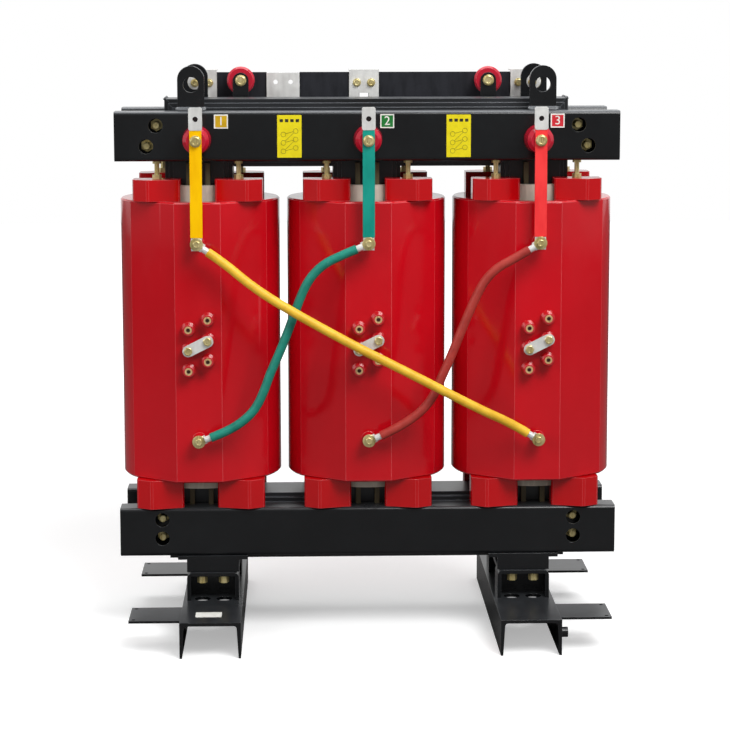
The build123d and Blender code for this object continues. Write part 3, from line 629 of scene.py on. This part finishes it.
# %% Grow the tree that sets copies along an axis
def scatter_tree():
    """Sets a copy of Shape on every point, its Z axis along the point's facing, spun about that axis."""
    build = Builder("set_along_axis", {"Shape": "Object", "Material": "Material"})
    stored = "GeometryNodeInputNamedAttribute"
    facing = build.add(stored, {"data_type": "FLOAT_VECTOR"}, {"Name": "facing"})
    spin = build.add(stored, {"data_type": "FLOAT"}, {"Name": "spin"})
    upright = build.add("FunctionNodeAlignRotationToVector", {"axis": "Z"}, {"Vector": facing.outputs[0]})
    sockets = {"Axis": (0, 0, 1), "Angle": spin.outputs[0]}
    about = build.add("FunctionNodeAxisAngleToRotation", {}, sockets)
    turned = build.add("FunctionNodeRotateRotation", {"rotation_space": "LOCAL"},
                       {0: upright.outputs[0], 1: about.outputs[0]})
    shape = build.add("GeometryNodeObjectInfo", {}, {"Object": build.inputs["Shape"]})
    points = build.add("GeometryNodeMeshToPoints", {}, {"Mesh": build.inputs["Geometry"]})
    sockets = {"Points": points.outputs[0], "Instance": shape.outputs["Geometry"],
               "Rotation": turned.outputs[0]}
    set_down = build.add("GeometryNodeInstanceOnPoints", {}, sockets)
    return build.finish(set_down.outputs[0])


scatter = scatter_tree()
print("the tree has", len(scatter.nodes), "nodes")


# %% Run the tree on a list of places
def at_points(name, shape, places, facing, material, spins=None):
    """Copies of a mesh at points, with its Z axis turned to the given direction."""
    seeds = bpy.data.meshes.new(name + "_points")
    seeds.from_pydata(places, [], [])
    seeds.attributes.new("facing", "FLOAT_VECTOR", "POINT")
    seeds.attributes.new("spin", "FLOAT", "POINT")
    for k in range(len(places)):
        seeds.attributes["facing"].data[k].vector = facing
        seeds.attributes["spin"].data[k].value = spins[k] if spins else first_spin + next_spin * k
    holder = shown(name + "_shape", shape)
    piece = grown(name, seeds, scatter, {"Shape": holder, "Material": material})
    bpy.data.objects.remove(holder)
    print(name, "-", len(places), "copies,", len(piece.data.polygons), "faces")
    return piece


# No two bolts are tightened to the same angle, so each copy is spun further than the one before.
first_spin, next_spin = 0.4, 1.9
to_front = (0, -1, 0)
print("each copy is spun by", next_spin, "radians")

# %% [markdown]
# ## Where the bolts sit
# The CAD model already has every bolt, as a plain prism. The heads go where those prisms are, so the places
# are measured and not typed in again. A node can hold many bolts, which are told apart by walking over
# faces that share a corner.


# %% Measure the solids of a node
def solid_boxes(node):
    """The box of each separate solid in a node, found by joining vertices that share a place."""
    mesh, turned = nodes[node].data, nodes[node].matrix_world
    points = [tuple(round(c, 5) for c in turned @ v.co) for v in mesh.vertices]
    heap = {}
    for polygon in mesh.polygons:
        keys = [points[v] for v in polygon.vertices]
        groups = {id(heap[k]): heap[k] for k in keys if k in heap}
        joined = set(keys).union(*groups.values()) if groups else set(keys)
        for k in joined:
            heap[k] = joined
    clusters = {id(c): c for c in heap.values()}.values()
    boxes = []
    for cluster in clusters:
        low = Vector([min(p[i] for p in cluster) for i in range(3)])
        high = Vector([max(p[i] for p in cluster) for i in range(3)])
        boxes.append((low, high))
    return sorted(boxes, key=lambda b: (round(b[0].x, 3), round(b[0].z, 3), round(b[0].y, 3)))


def seats_in_front(node):
    """Where each head of a node is seated, on the side that faces +Y."""
    return [((low.x + high.x) / 2, high.y, (low.z + high.z) / 2) for low, high in solid_boxes(node)]


print("terminal bolts sit at", [tuple(round(c, 3) for c in seat) for seat in seats_in_front("terminal_bolts")])

# %% Bolt the terminals, links, insulators and joints
# Each row: the node it replaces, across flats, height, washer radius, washer height.
heads = {
    "terminal": ("terminal_bolts", 0.0135, 0.0058, 0.0135, 0.0021),
    "link": ("link_screws", 0.016, 0.0055, 0.0, 0.0),
    "insulator": ("insulator_bolts", 0.019, 0.0062, 0.012, 0.0017),
    "joint": ("neutral_joint_bolts", 0.013, 0.0055, 0.009, 0.0014),
}
for name, (node, *sizes) in heads.items():
    bolts = at_points(f"{name}_heads", head_mesh(f"{name}_head", *sizes), seats_in_front(node), to_front,
                      finishes["zinc"])
    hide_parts(node)

# %% [markdown]
# ## Ribs on the tap bosses
# Each tap stands on a short tapered boss with raised rings, which lengthen the path over its surface. The
# rings are turned shapes of one form, so the same tree sets them on all the bosses. Their ends stay open,
# because a lid would close the tap's hole.

# %% Turn the ribs of one boss
boss_face, boss_tip = -0.160, -0.184
boss_foot_radius, boss_tip_radius = 0.014, 0.011
ribs_on_a_boss = 3


def rib_mesh(name, foot_radius, tip_radius, length, count):
    """Raised rings along a tapered boss, as one turned body round Z."""
    sunk, proud, half_foot, half_crest = 0.001, 0.0016, 0.0024, 0.0007
    rings = []
    for k in range(count):
        middle = length * (k + 0.6) / count
        cone = foot_radius + (tip_radius - foot_radius) * middle / length
        for out, along in ((-sunk, -half_foot), (proud, -half_crest), (proud, half_crest), (-sunk, half_foot)):
            rings.append(ring(cone + out, middle + along, 28))
    return stack_rings(name, rings, False, False)


tap_boxes = solid_boxes("tap_inserts")
tap_feet = [((low.x + high.x) / 2, boss_face, (low.z + high.z) / 2) for low, high in tap_boxes]
one_boss = rib_mesh("boss_rib", boss_foot_radius, boss_tip_radius, boss_face - boss_tip, ribs_on_a_boss)
boss_ribs = at_points("tap_boss_ribs", one_boss, tap_feet, to_front, finishes["boss_resin"])

# %% [markdown]
# ## Threads
# A tapped hole is dark inside, and a tie rod ends in a short stud past its nut. Both are turned shapes with
# a few threads, seen only from close by.

# %% Turn the studs of the tie rods
def thread_mesh(name, radius, length, thread_pitch, tip=0.8):
    """A stud: ridges of the thread up to a chamfered tip."""
    root = 0.9
    rings = []
    for k in range(int(length / thread_pitch)):
        rings.append(ring(radius * root, k * thread_pitch, 20))
        rings.append(ring(radius, (k + 0.5) * thread_pitch, 20))
    rings.append(ring(radius * tip, length, 20))
    return stack_rings(name, rings)


stud_radius, stud_length, stud_pitch, stud_sunk = 0.0078, 0.028, 0.002, 0.0005
rod_boxes = solid_boxes("tie_rods")
for side, turn in (("front", -1), ("back", 1)):
    places = [((low.x + high.x) / 2, (low if turn < 0 else high).y - stud_sunk * turn, (low.z + high.z) / 2)
              for low, high in rod_boxes]
    at_points(f"rod_studs_{side}", thread_mesh("stud", stud_radius, stud_length, stud_pitch), places,
              (0, turn, 0), finishes["zinc"])
print(len(rod_boxes), "tie rods")


# %% Thread the open taps
def tapped_dark():
    """The shade inside a small hole, with a little brass in it."""
    finish = Finish("tapped_hole")
    shade = finish.noise(200.0, 2.0)
    base = finish.mix(linear(34, 16, 10), linear(70, 40, 26), shade)
    return finish.shine(base_color=base, roughness=shade * 0.2 + 0.5, metallic=0.3)


tap_depth, tap_radius, tap_length, tap_pitch, same_place = 0.006, 0.0043, 0.0036, 0.0012, 0.003
screws = seats_in_front("link_screws")
open_taps = []
for low, high in tap_boxes:
    x, z = (low.x + high.x) / 2, (low.z + high.z) / 2
    if not any(abs(x - screw_x) < same_place and abs(z - screw_z) < same_place
               for screw_x, _, screw_z in screws):
        open_taps.append((x, low.y + tap_depth, z))
at_points("tap_threads", thread_mesh("tap_thread", tap_radius, tap_length, tap_pitch, 0.9), open_taps, to_front,
          tapped_dark())
print(len(tap_boxes), "taps,", len(open_taps), "of them open")

# %% [markdown]
# ## Plates on the front beam
# Three small plates name the phases by colour and number, and two yellow ones carry the tap diagram as
# plain rings. A plate is thin sheet with rounded corners. The rings are raised print, so they are meshes
# too, and Geometry Nodes copy one ring over the plate.


# %% Cut a plate
def sheet_plate(name, middle_x, middle_z, width, height, front, thickness, corner, material):
    """A thin upright plate with round corners, its face towards -Y."""
    outline = []
    for sx, sz, start in ((1, 1, 0), (-1, 1, 90), (-1, -1, 180), (1, -1, 270)):
        for step in range(5):
            a = math.radians(start + 22.5 * step)
            outline.append((middle_x + sx * (width / 2 - corner) + corner * math.cos(a),
                            middle_z + sz * (height / 2 - corner) + corner * math.sin(a)))
    rings = [[(x, y, z) for x, z in outline] for y in (front + thickness, front)]
    return printed(name, stack_rings(name, rings), material)


def printed(name, mesh, material):
    """A mesh shown in one finish, fixed to the object."""
    mesh.materials.clear()
    mesh.materials.append(material)
    piece = shown(name, mesh)
    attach(piece, "root")
    return piece


def plate_print(name, colour, deep):
    """Printed or painted sheet, a little cloudy."""
    finish = Finish(name)
    cloud = finish.noise(70.0, 3.0)
    base = finish.mix(deep, colour, cloud.between(0.3, 0.6))
    return finish.shine(base_color=base, roughness=cloud * 0.2 + 0.35, specular=0.3,
                        normal=finish.relief(cloud, 0.0001))


plate_white = plate_print("plate_white", linear(236, 238, 232), linear(222, 224, 216))
plate_ink = plate_print("plate_ink", linear(48, 46, 40), linear(38, 36, 30))
plate_yellow = plate_print("plate_yellow", linear(232, 215, 20), linear(220, 202, 14))
fields = {
    "yellow": plate_print("field_yellow", linear(206, 168, 22), linear(188, 150, 16)),
    "green": plate_print("field_green", linear(30, 122, 52), linear(24, 104, 44)),
    "red": plate_print("field_red", linear(206, 44, 56), linear(190, 34, 46)),
}
print("plate finishes:", 3 + len(fields))

# %% Hang the plates on the beam
beam_low, beam_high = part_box("upper_clamp_front")
plate_face = beam_low.y - 0.0010
print_face = beam_low.y - 0.0012
plate_thickness, print_thickness = 0.0010, 0.0004
phase_plates = [("yellow", "1", -0.3037), ("green", "2", 0.0402), ("red", "3", 0.3942)]
phase_size, phase_border = 0.0290, 0.0026
phase_z = beam_high.z - 0.0205
tap_plates = {"left": -0.1625, "right": 0.1885}
tap_width, tap_height, tap_drop = 0.0505, 0.0880, 0.0515
heading_drop, heading_width, heading_height, heading_gap, headings = 0.0190, 0.0070, 0.0062, 0.0110, 4

for colour, number, x in phase_plates:
    field_size = phase_size - 2 * phase_border
    sheet_plate(f"phase_plate_{number}", x, phase_z, phase_size, phase_size, plate_face, plate_thickness,
                0.0008, plate_white)
    sheet_plate(f"phase_field_{number}", x, phase_z, field_size, field_size, print_face, print_thickness,
                0.0004, fields[colour])
for name, x in tap_plates.items():
    sheet_plate(f"tap_plate_{name}", x, beam_high.z - tap_drop, tap_width, tap_height, plate_face,
                plate_thickness, 0.0010, plate_yellow)
    for k in range(headings):
        sheet_plate(f"tap_heading_{name}_{k}", x + heading_gap * (k - (headings - 1) / 2),
                    beam_high.z - heading_drop, heading_width, heading_height, print_face, print_thickness,
                    0.0006, plate_ink)
print("plates on the beam:", len(phase_plates) + len(tap_plates))

# %% Stick a blank label on the left channel
label_x, label_y, label_lift = -0.335, -0.250, 0.0003
channel_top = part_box("base_channel_left")[1].z
label = sheet_plate("channel_label", 0.0, 0.0, 0.054, 0.037, -0.0002, 0.0004, 0.001, plate_white)
label.data.transform(Matrix.Translation((label_x, label_y, channel_top + label_lift))
                     @ Matrix.Rotation(math.radians(-90), 4, "X"))
print("label at", [round(v, 3) for v in label.data.vertices[0].co])

# %% Number the phases
def raised_number(name, text, x, y, z, size, material):
    """A printed number, made a mesh before it is put in its place."""
    curve = bpy.data.curves.new(name, "FONT")
    curve.body = text
    curve.size = size
    curve.align_x = "CENTER"
    curve.align_y = "CENTER"
    curve.extrude = 0.0002
    holder = shown(name + "_text", curve)
    mesh = plain_mesh(holder)
    bpy.data.objects.remove(holder)
    mesh.transform(Matrix.Translation((x, y, z)) @ Matrix.Rotation(math.radians(90), 4, "X"))
    return printed(name, mesh, material)


number_size, number_face = 0.026, beam_low.y - 0.0013
for _, number, x in phase_plates:
    raised_number(f"phase_number_{number}", number, x, number_face, phase_z, number_size, plate_white)
print("numbers raised:", len(phase_plates))

# %% Print the tap diagrams
def flat_ring(name, radius, line):
    """A thin raised ring round Z."""
    profile = ((radius - line, 0.0), (radius - line, line_height), (radius, line_height), (radius, 0.0))
    rings = [ring(out, height, 24) for out, height in profile]
    return stack_rings(name, rings + [rings[0]], False, False)


diagram_radius, line_width, line_height = 0.0052, 0.0006, 0.0003
first_row_drop, row_gap, rows = 0.0475, 0.0175, 3
columns = ((-0.0125, 0.0), (0.0130, 0.007))
ring_places = [(middle + column, plate_face, beam_high.z - first_row_drop + rise - row_gap * row)
               for middle in tap_plates.values() for column, rise in columns for row in range(rows)]
at_points("tap_diagram_rings", flat_ring("diagram_ring", diagram_radius, line_width), ring_places, to_front,
          plate_ink, [0.0] * len(ring_places))


# %% Join the rings of each diagram
def line_strip(name, ends, material):
    """Thin raised lines on the plates, each from one point to another."""
    points, faces = [], []
    for (ax, az), (bx, bz) in ends:
        length = math.hypot(bx - ax, bz - az)
        sx, sz = -(bz - az) / length * line_width / 2, (bx - ax) / length * line_width / 2
        first = len(points)
        for y in (plate_face, plate_face - line_height):
            points += [(ax + sx, y, az + sz), (ax - sx, y, az - sz),
                       (bx - sx, y, bz - sz), (bx + sx, y, bz + sz)]
        faces += [tuple(first + k for k in corners) for corners in
                  ((3, 2, 1, 0), (4, 5, 6, 7), (0, 1, 5, 4), (1, 2, 6, 5), (2, 3, 7, 6), (3, 0, 4, 7))]
    mesh = bpy.data.meshes.new(name)
    mesh.from_pydata(points, [], faces)
    return printed(name, mesh, material)


joins = []
for first in range(0, len(ring_places), 2 * rows):
    left, right = ring_places[first:first + rows], ring_places[first + rows:first + 2 * rows]
    for a, b in [*zip(left, right), *zip(right, left[1:])]:
        reach = Vector((b[0] - a[0], b[2] - a[2])).normalized() * diagram_radius
        joins.append(((a[0] + reach.x, a[2] + reach.y), (b[0] - reach.x, b[2] - reach.y)))
line_strip("tap_diagram_lines", joins, plate_ink)
print("lines in the diagrams:", len(joins))

# %% [markdown]
# ## Weld beads at the lifting lugs
# Each lug is welded to its beam by hand. A bead is a row of overlapping ripples, one for each pause of the
# electrode, so a small flattened drop is repeated along the seam.


# %% Lay the weld ripples
def drop_mesh(name, width, height):
    """A flattened drop round Z."""
    profile = ((width, 0.0), (width * 0.86, height * 0.6), (width * 0.45, height * 0.93))
    return stack_rings(name, [ring(out, up, 12) for out, up in profile])


weld_leg, lug_offset = 0.008, 0.367
ripple_start, ripple_gap, ripples_in_a_bead = -0.0265, 0.0038, 15
weld_metal = enamel("thinly_painted_weld", linear(66, 68, 71), linear(128, 131, 135), gloss=0.3)
lug_boxes = [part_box(node) for node in ("lifting_lugs_front", "lifting_lugs_back")]
for tilt, side in ((-1, "front"), (1, "rear")):
    places = [(lug_x + ripple_start + ripple_gap * k, (low if tilt < 0 else high).y - tilt * weld_leg / 2,
               low.z + weld_leg / 2)
              for low, high in lug_boxes for lug_x in (-lug_offset, lug_offset)
              for k in range(ripples_in_a_bead)]
    bead = at_points(f"weld_bead_{side}", drop_mesh("ripple", 0.0058, 0.0022), places, (0, tilt, 1),
                     weld_metal)

# %% [markdown]
# ## Floor, backdrop and light
# The setting is a plain pale studio. Large soft lamps in front and above give the resin broad highlights,
# and a pale world fills in the sides. The backdrop is bright for the camera and for reflections only, so
# that it adds no light to the object.


# %% Lay the floor
def studio_floor():
    """Pale paint. Towards the edges the camera sees it run into the white backdrop, which lights nothing."""
    finish = Finish("pale_floor")
    cloud = finish.noise(1.5, 2.0)
    far = (finish.axis(0) ** 2.0 + finish.axis(1) ** 2.0).between(0.3, 4.0)
    seen = Value(finish, finish.add("ShaderNodeLightPath").outputs["Is Camera Ray"])
    base = finish.mix(linear(234, 234, 234), linear(240, 240, 240), cloud)
    base = finish.mix(linear(112, 112, 112), base, seen)
    glow = finish.mix(black, white, seen * (far * 0.7 + 0.2))
    return finish.shine(base_color=base, roughness=0.8, specular=0.1, emission_color=glow,
                        emission_strength=1.0)


bpy.ops.mesh.primitive_plane_add(size=16, location=(0, 1.0, -0.0005))
floor = bpy.context.object
floor.name = "floor"
floor.data.materials.append(studio_floor())
print("floor laid, 16 m wide")


# %% Hang the lamps
def area_lamp(name, place, aim, size, watts):
    """A soft rectangular lamp that looks at a point. It has the size of its width and height in metres."""
    lamp = shown(name, bpy.data.lights.new(name, "AREA"))
    lamp.data.shape = "RECTANGLE"
    lamp.data.size, lamp.data.size_y = size
    lamp.data.energy = watts
    lamp.location = place
    lamp.rotation_euler = (Vector(aim) - Vector(place)).to_track_quat("-Z", "Y").to_euler()


aim = (0, 0, 0.6)
area_lamp("key", (1.8, -3.0, 4.2), aim, (2.6, 2.4), 200)
area_lamp("fill", (-3.2, -2.6, 2.2), aim, (2.0, 2.4), 42)
area_lamp("overhead", (0, 0.4, 3.4), aim, (2.6, 2.0), 50)

# %% [markdown]
# ## The world
# The world is white for the camera. In reflections it is bright behind the object and dim in front of it,
# as in a room with one white wall, so that black paint and red resin keep their depth. For diffuse light it
# is an even pale grey.

# %% Make the world
world = bpy.data.worlds.new("studio")
bpy.context.scene.world = world
world.use_nodes = True
sky = Tree(world.node_tree)
background = sky.nodes["Background"]
background.inputs["Color"].default_value = white

rays = sky.add("ShaderNodeLightPath").outputs
heading = sky.add("ShaderNodeSeparateXYZ", {}, {0: sky.add("ShaderNodeTexCoord").outputs["Generated"]})
sideways, backwards = Value(sky, heading.outputs[0]), Value(sky, heading.outputs[1])
mirrored, seen = Value(sky, rays["Is Glossy Ray"]), Value(sky, rays["Is Camera Ray"])
dim, bright, even = 0.26, 0.95, 0.45
behind = (abs(sideways) * 0.3 + backwards).between(0.0, 0.5) * (bright - dim) + dim
lit = behind * mirrored + (1.0 - mirrored) * even
sky.feed(background, {"Strength": lit.math("MAXIMUM", lit, seen)})
print("the world has", len(sky.nodes), "nodes")

# %% [markdown]
